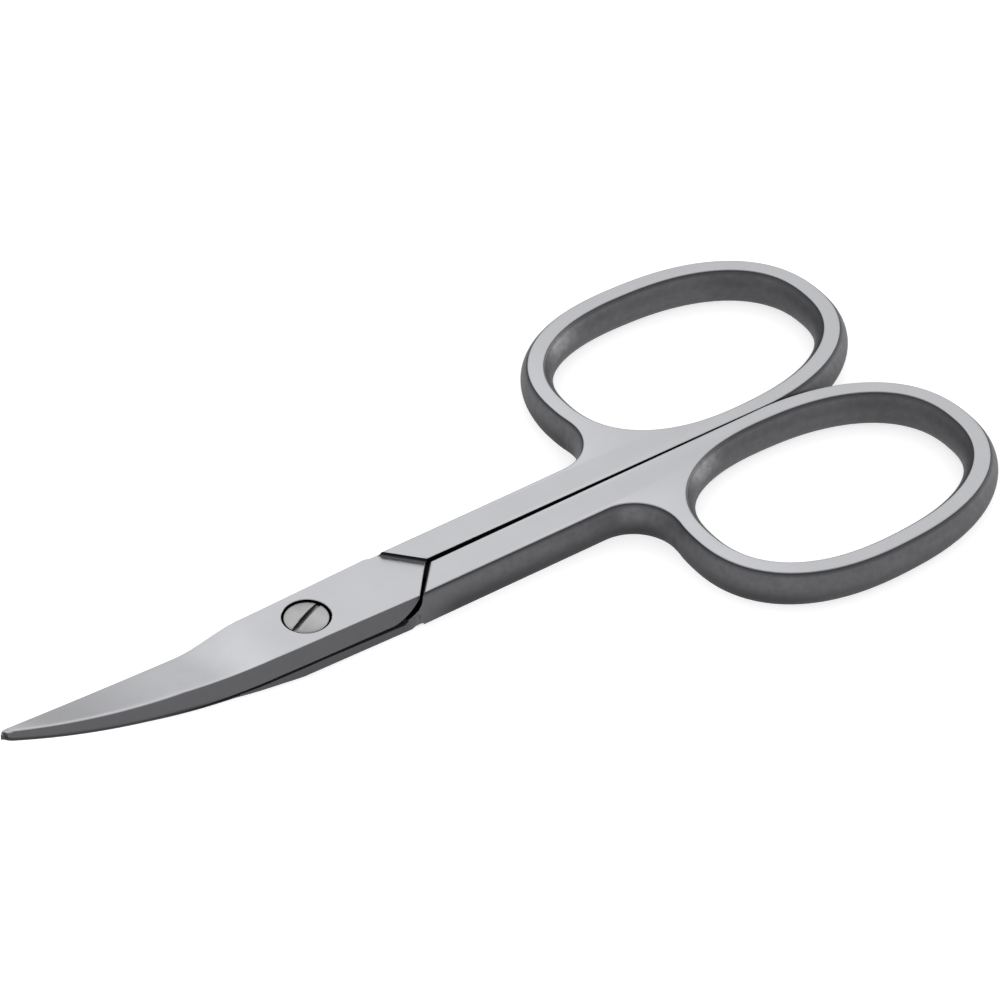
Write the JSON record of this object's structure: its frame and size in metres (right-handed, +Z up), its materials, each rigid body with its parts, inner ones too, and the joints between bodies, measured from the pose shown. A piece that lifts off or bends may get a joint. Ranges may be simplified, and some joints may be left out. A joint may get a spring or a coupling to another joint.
{
  "type": "nail scissors",
  "caption": "Small steel scissors with curved tapering blades, oval finger rings and a slotted pivot screw, for trimming nails.",
  "frame": {"origin": "on the surface that the handles lie on, under the middle of the bounding box", "axes": "+X from the blade tips towards the finger rings, +Y towards the upper half's ring, +Z up on the screw head's side"},
  "size_m": [0.0914, 0.0438, 0.0062],
  "materials": {
    "satin_steel": "satin ground flat faces, matte forged sides",
    "screw_steel": "fine turned, a little brighter than the halves"
  },
  "bodies": {
    "lower_body": {"lower_half": "satin_steel", "pivot_screw": "screw_steel"},
    "upper_body": {"upper_half": "satin_steel"}
  },
  "joints": [
    {"name": "blade_pivot", "type": "hinge", "parent": "lower_body", "child": "upper_body", "pos_m": [-0.0164, 0.00045, 0.0018], "axis": [0, 0, 1], "range_deg": [0, 70]}
  ]
}
